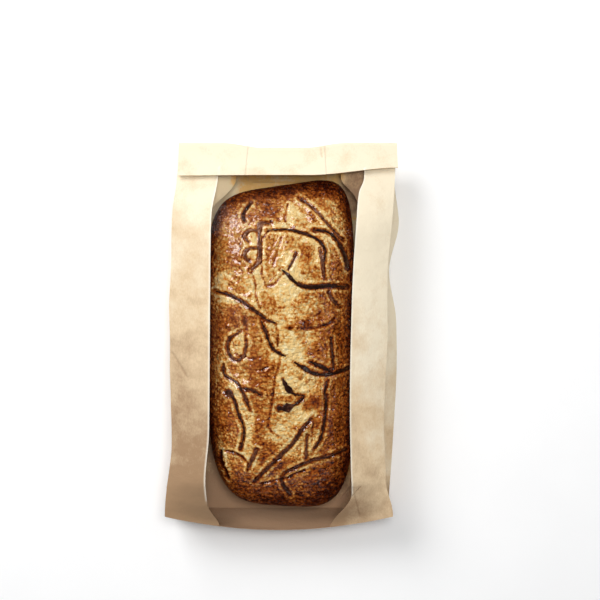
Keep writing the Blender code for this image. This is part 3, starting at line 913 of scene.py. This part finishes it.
def swell(x, y):
    """Height that melted cheese and the crust's soft lumps add."""
    height = np.zeros(x.shape)
    for swell_x, swell_y, radius, rise in np.array(CHEESE_SWELLS) * MM:
        gap = ((x - swell_x) ** 2 + (y - swell_y) ** 2) / radius ** 2
        height += rise * np.exp(-2.0 * gap)
    flat = np.stack((x, y, np.zeros(x.shape)), axis=-1)
    return height + CRUST_LUMP * noise_at(flat, CRUST_LUMP_SIZE, 0) - CRUST_LUMP_DROP


def loaf_height(x, y):
    """Height of the loaf's top at places of its plan, measured from its centre."""
    place = np.minimum(1.0, plan_place(x, y))
    dome = (1.0 - place ** DOME_POWER) ** (1.0 / DOME_POWER)
    return WIDEST_Z + (TOP_Z - WIDEST_Z) * dome + swell(x, y) * ease(3.0 * dome)


def loaf_form(columns, rows):
    """Places of the loaf's smooth form for a grid laid over it from the top to its base edge."""
    a = columns / LOAF_CELLS_ACROSS * 2.0 - 1.0
    b = rows / LOAF_CELLS_ALONG * 2.0 - 1.0
    ring = np.maximum(np.abs(a), np.abs(b))
    whole = np.where(ring > 0.0, ring, 1.0)
    power = plan_power(a, b)
    out = (np.abs(a / whole) ** power + np.abs(b / whole) ** power) ** (1.0 / power)
    out = np.where(ring > 0.0, out, 1.0) * whole
    angle = 0.5 * np.pi * np.minimum(1.0, ring / DOME_SHARE)
    down = np.clip((ring - DOME_SHARE) / (1.0 - DOME_SHARE), 0.0, 1.0)
    base_z = LOAF_LOW.z
    fall = (WIDEST_Z - base_z) * down
    upright = (fall / (WIDEST_Z - base_z + BASE_FLAT)) ** (0.5 * BASE_POWER)
    below = np.sqrt(1.0 - upright ** 2) ** (2.0 / BASE_POWER)
    place = np.where(ring <= DOME_SHARE, np.sin(angle) ** (2.0 / DOME_POWER), below)
    x = half_width() * a / out * place
    straight_y = plan_length(b) * b / out * place
    y = straight_y + x * plan_skew(straight_y)
    z = np.where(ring <= DOME_SHARE, loaf_height(x, y), WIDEST_Z - fall)
    return np.stack((x, y, z), axis=-1), place, down


def toast_level(x, y, place):
    """How baked each place is, from its nearness to the edge and patches, with painted light on
    the loaf's left and painted shade on its right.
    """
    # Painted shade darker on the right and painted light paler on the left; paler towards the head
    # and darker at the tail.
    right = 0.09 * ease((x - 0.018) / 0.020)
    left = 0.09 * ease((-0.014 - x) / 0.016) * ease((0.080 - y) / 0.040)
    tail = 0.17 * ease((-0.098 - y) / 0.016)
    head = 0.10 * ease((y - 0.010) / 0.040)
    toast_and_shade = PLAIN_TOAST + right + tail - left - head
    edge = ease((place - EDGE_START) / EDGE_SPAN) * (1.0 - 0.65 * ease((-0.085 - y) / 0.025))
    toast_and_shade = toast_and_shade + EDGE_TOAST * edge
    for *sizes, change in TOAST_PATCHES:
        patch_x, patch_y, half_across, half_along = np.array(sizes) * MM
        gap = ((x - patch_x) / half_across) ** 2 + ((y - patch_y) / half_along) ** 2
        toast_and_shade = toast_and_shade + PATCH_GAIN * change * np.exp(-0.8 * gap ** 1.4)
    return toast_and_shade


def crust_relief(points, rim, down):
    """Fine relief, along the normal, and how baked the crust is, with painted shade in its seams,
    grooves and along the onion strips, at places from its centre.
    """
    x, y, _ = points.T
    warp = WARP * noise_at(points, WARP_SIZE, 11)
    warp_y = WARP * noise_at(points, WARP_SIZE, 12)
    toast_and_shade = toast_level(x + warp, y + warp_y, rim)
    pale = ease((0.42 - toast_and_shade) / 0.22)
    top = 1.0 - ease((rim - 0.86) / 0.14)
    large = blister_at(points, LARGE_BLISTER_SIZE, 3)
    bent = points + 0.0006 * noise_at(points, 0.004, 4)[:, None]
    small = blister_at(bent, SMALL_BLISTER_SIZE, 5)
    rough = noise_at(points, ROUGH_SIZE, 6)
    lumps = noise_at(points, LUMP_SIZE, 7)
    wrinkle = 1.0 - np.abs(noise_at(points * (0.35, 1.0, 1.0), WRINKLE_SIZE, 8)) * 2.2
    relief = LUMP_HEIGHT * lumps + ROUGH_HEIGHT * rough + WRINKLE_HEIGHT * wrinkle * (1.0 - pale)
    relief += (LARGE_BLISTER_HEIGHT * large - LARGE_BLISTER_DROP) * (0.20 + 0.80 * pale)
    relief += (SMALL_BLISTER_HEIGHT * small - SMALL_BLISTER_DROP) * (1.0 - 0.7 * pale)
    # Lumps and roughness vary the bake; the small blisters are painted darker in their seams and
    # paler on their tops, as painted shade and light.
    toast_and_shade = toast_and_shade + 0.15 * lumps + 0.10 * rough + 0.16 * (0.6 - small) * (1.0 - 0.4 * pale)
    toast_and_shade = toast_and_shade + 0.18 * (large - 0.6) * pale - 0.08 * wrinkle * (1.0 - pale)
    near_onion = np.full(x.shape, 1.0)
    for index, (width, _tone, *places) in enumerate(ONION_STRIPS):
        path = smooth_path(places, PATH_STEP)
        bed = STRIP_BED * width * MM
        near_onion = np.minimum(near_onion, distance_to(path, x, y) - bed)
        if index in ONION_BULBS:
            place, _spread, gain = ONION_BULBS[index]
            bulb_x, bulb_y = path[round(place * (len(path) - 1))]
            bed = BULB_BED * width * MM * (1.0 + gain)
            near_onion = np.minimum(near_onion, np.hypot(x - bulb_x, y - bulb_y) - bed)
    bed = 1.0 - ease((near_onion + 0.0006) / 0.0016)
    lip = np.exp(-((near_onion - 0.0020) / 0.0012) ** 2)
    relief = relief * (1.0 - 0.8 * bed) - BED_DEPTH * bed + BED_LIP_HEIGHT * lip
    # A painted contact shadow darkens the crust along each strip; the raised lip beside it is
    # paler.
    toast_and_shade = toast_and_shade + 0.42 * np.exp(-((near_onion + 0.0001) / 0.0007) ** 2) - 0.26 * lip
    for width, depth, *places in CRUST_CREASES:
        gap = distance_to(smooth_path(places, PATH_STEP), x + 0.3 * warp, y + 0.3 * warp_y)
        gap = gap / (width * MM)
        depth = depth * MM
        groove = np.exp(-gap ** 2)
        lip = np.exp(-((gap - 2.4) / 1.2) ** 2)
        relief = relief - 1.2 * depth * groove + 0.50 * depth * lip
        # Painted shade in the groove; the lips beside it paler.
        toast_and_shade = toast_and_shade + (GROOVE_SHADE * groove - LIP_TOAST * lip) * depth
    relief = relief * (0.25 + 0.75 * top) * (1.0 - ease(down * 3.0))
    rosy = ease((-0.010 - x) / 0.014) * ease((y + 0.052) / 0.03) * top
    rosy = np.clip(rosy + 0.5 * ease((y - 0.098) / 0.012) * top * (x < 0.02), 0.0, 1.0)
    rosy = rosy * (0.5 + 0.5 * lumps) * (1.0 - pale)
    return relief, toast_and_shade, rosy


def length_property(name, description, default, low, high):
    """A size that can be changed in the sidebar."""
    return bpy.props.FloatProperty(
        name=name, description=description, default=default, min=low, max=high, unit="LENGTH")


def share_property(name, description, default, low, high):
    """A strength or share that can be changed in the sidebar."""
    return bpy.props.FloatProperty(
        name=name, description=description, default=default, min=low, max=high, subtype="FACTOR")


def colour_property(name, description, default):
    """A colour that can be changed in the sidebar."""
    return bpy.props.FloatVectorProperty(
        name=name, description=description, default=default, min=0.0, max=1.0, size=3,
        subtype="COLOR")


class LoafSettings(bpy.types.PropertyGroup):
    """Sizes and finish of the loaf."""

    head_length: length_property(
        "Head length", "Length from the loaf's centre to its head", 0.1315, 0.05, 0.3)
    tail_length: length_property(
        "Tail length", "Length from the loaf's centre to its tail", 0.1340, 0.05, 0.3)
    half_width: length_property(
        "Half width", "Half the loaf's width", 0.5 * (LOAF_HIGH.x - LOAF_LOW.x), 0.03, 0.2)
    relief: share_property(
        "Relief", "Strength of the crust's modelled blisters", 1.0, 0.0, 2.0)
    fine_bump: share_property(
        "Fine bump", "Strength of the crust's finest grain", 0.9, 0.0, 1.0)


class OnionSettings(bpy.types.PropertyGroup):
    """Sizes and finish of the onion strips."""

    width_scale: share_property(
        "Width", "Width of the strips against the listed widths", 1.0, 0.5, 2.0)
    thickness: length_property(
        "Thickness", "Thickness of a roasted strip", 0.0011, 0.0003, 0.004)
    skin_bump: share_property(
        "Skin bump", "Strength of the strips' wrinkled skin", 0.8, 0.0, 1.0)


class BagSettings(bpy.types.PropertyGroup):
    """Thickness and colour of the paper, with the colours of its painted light and shade."""

    thickness: length_property(
        "Paper thickness", "Thickness of the paper", 0.00022, 0.0001, 0.0006)
    # Painted light: the paper's colour where light falls on the folded top.
    top_lit_colour: colour_property(
        "Top colour", "Colour of the paper towards the folded top", (0.85, 0.745, 0.56))
    colour: colour_property(
        "Paper colour", "Colour of the brown paper halfway along", (0.70, 0.53, 0.335))
    # Painted shade: the paper's colour towards the shaded foot.
    foot_shade_colour: colour_property(
        "Foot colour", "Colour of the paper towards the bag's bottom", (0.36, 0.225, 0.125))
    # Painted light: the paper inside, lit as if through the paper.
    inner_lit_colour: colour_property(
        "Inner colour", "Colour of the paper inside the bag", (1.00, 0.61, 0.21))
    # Painted shade: the paper inside towards the bottom.
    inner_foot_shade_colour: colour_property(
        "Inner foot colour", "Colour inside the bag towards its bottom", (0.40, 0.245, 0.145))
    fibre_bump: share_property(
        "Fibre bump", "Strength of the paper's fibres and soft creases", 0.5, 0.0, 1.0)


class FilmSettings(bpy.types.PropertyGroup):
    """Thickness and clearness of the window film."""

    thickness: length_property(
        "Film thickness", "Thickness of the clear film", 0.00008, 0.00002, 0.0003)
    gloss: share_property(
        "Gloss", "Share of light that the film reflects", 0.0018, 0.0, 1.0)


class StageSettings(bpy.types.PropertyGroup):
    """Floor, light and camera."""

    floor_colour: colour_property(
        "Floor colour", "Colour of the plain floor", (0.985, 0.985, 0.985))
    key_power: bpy.props.FloatProperty(
        name="Key light", description="Power of the soft light at the upper left",
        default=17.0, min=0.0, max=500.0, unit="POWER")
    sky_strength: bpy.props.FloatProperty(
        name="Room light", description="Strength of the even light from all round",
        default=0.49, min=0.0, max=5.0)
    camera_height: length_property(
        "Camera height", "Height of the camera above the floor", 1.1, 0.3, 3.0)
    lens: bpy.props.FloatProperty(
        name="Lens", description="Focal length of the camera on a 36 mm sensor, in millimetres",
        default=77.6, min=20.0, max=200.0)


class LOAF_OT_crust(bpy.types.Operator):
    """Model the loaf with its blistered cheese crust"""

    bl_idname = "loaf.crust"
    bl_label = "Loaf"

    def execute(self, context):
        """Lay a fine grid over the loaf's form, close its base and give it relief."""
        settings = context.scene.onion_loaf
        loaf, columns, rows = grid_piece("crust_loaf", LOAF_CELLS_ACROSS, LOAF_CELLS_ALONG)
        form, place, down = loaf_form(columns, rows)
        set_points(loaf, form)
        relief, toast_and_shade, rosy = crust_relief(form, place, down)
        points = form + get_normals(loaf) * (relief * settings.relief)[:, None]
        points += (LOAF_X, LOAF_Y, 0.0)
        set_points(loaf, points)
        paint(loaf, "toast_and_shade", toast_and_shade)
        paint(loaf, "rosy", rosy)
        paint(loaf, "greasy", 1.0 - ease((place - 0.80) / 0.14))
        edit_all(loaf, self.close_base, face_outwards)
        smooth_faces(loaf, 180.0)
        settle(loaf, "loaf", crust_material(settings))
        return {"FINISHED"}

    @staticmethod
    def close_base():
        """Close the open edge of the grid with a flat face."""
        bpy.ops.mesh.select_all(action="DESELECT")
        bpy.ops.mesh.select_mode(type="EDGE")
        bpy.ops.mesh.select_non_manifold()
        bpy.ops.mesh.edge_face_add()
        bpy.ops.mesh.select_all(action="SELECT")


class LOAF_OT_onion(bpy.types.Operator):
    """Lay the roasted onion strips on the crust"""

    bl_idname = "loaf.onion"
    bl_label = "Onion strips"

    around_cells = 14
    along_step = 0.0007

    def execute(self, context):
        """Roll a grid into each strip and join them to one piece."""
        settings = context.scene.onion_strips
        strips = []
        for index, (width, tone, *places) in enumerate(ONION_STRIPS):
            path = smooth_path(places, self.along_step)
            width = width * MM * settings.width_scale
            strips.append(self.make_strip(index, width, tone, path, settings.thickness))
        select_only(*strips)
        bpy.ops.object.join()
        onion = strips[0]
        onion.name = "onion_strips"
        onion.data.name = "onion_strips"
        smooth_faces(onion, 60.0)
        settle(onion, "loaf", onion_material(settings))
        return {"FINISHED"}

    def make_strip(self, index, width, tone, path, thickness):
        """One flat twisted strip that follows the crust along its path."""
        cells = len(path) - 1
        strip, columns, rows = grid_piece("onion_strip", self.around_cells, cells)
        share = rows / cells
        ahead = np.gradient(path, axis=0)
        ahead = ahead / np.linalg.norm(ahead, axis=1)[:, None]
        side = np.stack((-ahead[:, 1], ahead[:, 0]), axis=-1)
        steps_along = np.arange(cells + 1)[:, None] * (self.along_step, 0.0, 0.0)
        wobble = noise_at(steps_along, 0.006, 20 + index)
        twist = 0.9 * noise_at(steps_along, 0.011, 60 + index)
        lift = 0.00035 * noise_at(steps_along, 0.009, 100 + index)
        curl = noise_at(steps_along, 0.008, 140 + index)
        end = np.abs(2.0 * share - 1.0)
        taper = np.sqrt(np.clip(1.0 - end ** 6, 0.0, 1.0)) * (1.0 - 0.30 * end ** 3)
        ragged = noise_at(steps_along, 0.0022, 180 + index)
        place, spread, gain = ONION_BULBS.get(index, (0.5, 1.0, 0.0))
        bulb = 1.0 + gain * np.exp(-((share - place) / spread) ** 2)
        uneven = 1.0 + 0.75 * wobble[rows] + 0.35 * ragged[rows]
        half = STRIP_HALF * width * uneven * taper * bulb
        angle = 2.0 * np.pi * columns / self.around_cells
        flat = half * np.cos(angle)
        rim = np.abs(np.cos(angle)) ** 2
        thick = 0.5 * thickness * taper
        up = thick * np.sin(angle) + 0.35 * thick * rim * (1.0 + curl[rows])
        turn = twist[rows]
        out = flat * np.cos(turn) - up * np.sin(turn)
        rise = flat * np.sin(turn) * 0.5 + up * np.cos(turn)
        x = path[rows, 0] + side[rows, 0] * out
        y = path[rows, 1] + side[rows, 1] * out
        ground = loaf_height(path[rows, 0], path[rows, 1])
        slope = loaf_height(x, y) - ground
        sink = END_SINK * end ** 4
        z = ground + slope + rise + lift[rows] + STRIP_RISE - sink + 0.0002 * (bulb - 1.0)
        points = np.stack((x + LOAF_X, y + LOAF_Y, z), axis=-1)
        knots = 0.00042 * noise_at(points, 0.0026, 9) + 0.00022 * noise_at(points, 0.0011, 10)
        knots = knots * taper
        points[:, :2] += side[rows] * (knots * np.cos(angle))[:, None]
        points[:, 2] += knots * np.sin(angle)
        set_points(strip, points)
        paint(strip, "tone", 0.56 * tone + 0.12 * wobble[rows])
        # Paler rims along the strip's edges: partly the onion's thin edges, partly painted
        # highlight.
        paint(strip, "rim", rim * (0.4 + 0.6 * tone))
        edit_all(strip, merge_seams, face_outwards)
        return strip


class LOAF_OT_bag(bpy.types.Operator):
    """Model the paper bag"""

    bl_idname = "loaf.bag"
    bl_label = "Paper bag"

    def execute(self, context):
        """Roll a grid into the bag, cut its window, add its end wall and give it thickness."""
        settings = context.scene.bakery_bag
        surface, window_cells = bag_surface()
        cells_across = surface.shape[1] - 1
        bag, columns, rows = grid_piece("paper_bag", cells_across, surface.shape[0] - 1)
        set_points(bag, ruffle(surface[rows, columns]))
        cut_window(bag, columns, rows, window_cells)
        wall = end_wall()
        select_only(bag, wall)
        bpy.ops.object.join()
        edit_all(bag, merge_seams, face_outwards)
        outer_count = len(bag.data.vertices)
        thicken(bag, settings.thickness)
        self.paint_paper(bag, outer_count)
        smooth_faces(bag, 28.0)
        settle(bag, "bag", paper_material(settings))
        return {"FINISHED"}

    @staticmethod
    def paint_paper(bag, outer_count):
        """Store each place's tan with painted light and shade, which side is inside and the cut
        edges.
        """
        points = get_points(bag)
        x, y, z = points.T
        # Painted light and shade: lighter towards the top and darker towards the foot, darker on
        # the lower left strip, lighter on the right strip and darker still at the very foot.
        left = 0.16 * ease((-0.02 - x) / 0.06) * ease((0.05 - y) / 0.12)
        right = 0.44 * ease((x - 0.02) / 0.06) * ease((0.15 - y) / 0.10)
        foot = 0.12 * ease((-0.118 - y) / 0.003) + 0.14 * ease((-0.120 - y) / 0.025)
        tan_and_shade = 0.43 - (y - 0.020) / 0.30 + left - right + foot
        side = np.zeros(len(x))
        side[outer_count:] = 1.0
        # Inside near the top: painted shade, deepest on the right pleat, and painted light on the
        # left pleat.
        head = side * ease((y - 0.095) / 0.010)
        tan_and_shade = tan_and_shade + 0.15 * head + 0.72 * head * ease((x - 0.044) / 0.008)
        tan_and_shade = tan_and_shade - 0.50 * head * ease((-0.038 - x) / 0.010)
        paint(bag, "tan_and_shade", tan_and_shade)
        paint(bag, "inside", side)
        left = np.abs(x - along(LEFT_WINDOW_X, y))
        right = np.abs(x - along(RIGHT_WINDOW_X, y))
        rim = np.exp(-(np.minimum(left, right) / 0.0006) ** 2)
        on_front = (z > front_height(x, y) - 0.003) & (y < WINDOW_TOP_Y)
        rim = rim * on_front * ease((y + 0.142) / 0.006)
        paint(bag, "edge", rim)


class LOAF_OT_film(bpy.types.Operator):
    """Stretch the clear film under the window's edges"""

    bl_idname = "loaf.film"
    bl_label = "Window film"

    cells_across = 60
    cells_along = 150

    def execute(self, context):
        """Shape a grid to the window and give it thickness."""
        settings = context.scene.window_film
        film, columns, rows = grid_piece("clear_window", self.cells_across, self.cells_along)
        y = FILM_BOTTOM_Y + (FILM_TOP_Y - FILM_BOTTOM_Y) * rows / self.cells_along
        left = along(LEFT_WINDOW_X, y) - FILM_OVERLAP
        right = along(RIGHT_WINDOW_X, y) + FILM_OVERLAP
        x = left + (right - left) * columns / self.cells_across
        points = ruffle(bag_points(x, y, np.ones(x.shape)))
        points[:, 2] = np.minimum(points[:, 2] - FILM_DROP, FILM_HIGH.z - settings.thickness)
        set_points(film, points)
        thicken(film, settings.thickness)
        smooth_faces(film, 60.0)
        settle(film, "window_film", film_material(settings))
        return {"FINISHED"}


class LOAF_OT_stage(bpy.types.Operator):
    """Set the floor, the lights and the camera"""

    bl_idname = "loaf.stage"
    bl_label = "Floor, light and camera"

    floor_size = 16.0
    camera_x = 0.0132
    camera_y = 0.0301
    key_light = ("key_light", (-0.75, 0.85, 1.05), 0.90)
    top_light = ("top_light", (0.09, 0.13, 1.30), 0.40)
    side_light = ("side_light", (0.95, 0.30, 1.05), 0.32)
    top_power = 8.8
    side_power = 1.0
    sky_stops = ((0.0, 1.0), (0.30, 0.90), (0.60, 0.30), (1.0, 0.06))

    def execute(self, context):
        """Add a plain floor, three soft lights, the room's even light and the camera above."""
        settings = context.scene.loaf_stage
        deselect_all()
        bpy.ops.mesh.primitive_plane_add(size=self.floor_size, location=(0.0, 0.0, 0.0))
        floor = context.object
        floor.name = "floor"
        floor.data.materials.append(floor_material(settings))
        self.add_light(*self.key_light, settings.key_power)
        top = self.add_light(*self.top_light, self.top_power)
        top.visible_glossy = False
        self.add_light(*self.side_light, self.side_power)
        context.scene.world = self.make_room(settings.sky_strength)
        bpy.ops.object.camera_add(
            location=(self.camera_x, self.camera_y, settings.camera_height),
            rotation=(0.0, 0.0, 0.0))
        camera = context.object
        camera.data.lens = settings.lens
        camera.data.sensor_width = 36.0
        camera.data.clip_end = 20.0
        context.scene.camera = camera
        context.scene.view_settings.view_transform = "Standard"
        return {"FINISHED"}

    def make_room(self, strength):
        """Even light from the walls of a room with a dark ceiling."""
        world = bpy.data.worlds.new("room")
        world.use_nodes = True
        nodes = world.node_tree.nodes
        links = world.node_tree.links
        direction = nodes.new("ShaderNodeTexCoord")
        height = nodes.new("ShaderNodeSeparateXYZ")
        ramp = nodes.new("ShaderNodeValToRGB")
        fill_ramp(ramp, [
            (place, (0.96 * value, 0.98 * value, value)) for place, value in self.sky_stops])
        background = nodes["Background"]
        background.inputs["Strength"].default_value = strength
        links.new(direction.outputs["Generated"], height.inputs["Vector"])
        links.new(height.outputs["Z"], ramp.inputs["Fac"])
        links.new(ramp.outputs["Color"], background.inputs["Color"])
        return world

    @staticmethod
    def add_light(name, place, size, power):
        """Add one square soft light that points at the loaf."""
        aim = (Vector((0.0, 0.0, 0.03)) - Vector(place)).to_track_quat("-Z", "Y")
        bpy.ops.object.light_add(type="AREA", location=place, rotation=aim.to_euler())
        light = bpy.context.object
        light.name = name
        light.data.shape = "SQUARE"
        light.data.size = size
        light.data.energy = power
        return light


class LOAF_PT_panel(bpy.types.Panel):
    """Buttons and sizes in the sidebar"""

    bl_idname = "LOAF_PT_panel"
    bl_label = "Onion Asiago Loaf"
    bl_space_type = "VIEW_3D"
    bl_region_type = "UI"
    bl_category = "Loaf"

    def draw(self, context):
        """List each piece's sizes with its button."""
        for name, settings, operator in PIECES:
            box = self.layout.box()
            for key in settings.__annotations__:
                box.prop(getattr(context.scene, name), key)
            box.operator(operator.bl_idname)


PIECES = (
    ("onion_loaf", LoafSettings, LOAF_OT_crust),
    ("onion_strips", OnionSettings, LOAF_OT_onion),
    ("bakery_bag", BagSettings, LOAF_OT_bag),
    ("window_film", FilmSettings, LOAF_OT_film),
    ("loaf_stage", StageSettings, LOAF_OT_stage),
)


def register():
    """Register the settings, operators and panel."""
    for name, settings, operator in PIECES:
        bpy.utils.register_class(settings)
        bpy.utils.register_class(operator)
        setattr(bpy.types.Scene, name, bpy.props.PointerProperty(type=settings))
    bpy.utils.register_class(LOAF_PT_panel)


def unregister():
    """Remove what register added."""
    bpy.utils.unregister_class(LOAF_PT_panel)
    for name, settings, operator in reversed(PIECES):
        delattr(bpy.types.Scene, name)
        bpy.utils.unregister_class(operator)
        bpy.utils.unregister_class(settings)


def main():
    """Model every piece round the frame and set the stage."""
    register()
    bpy.ops.loaf.crust()
    bpy.ops.loaf.onion()
    bpy.ops.loaf.bag()
    bpy.ops.loaf.film()
    bpy.ops.loaf.stage()


if __name__ == "__main__":
    main()
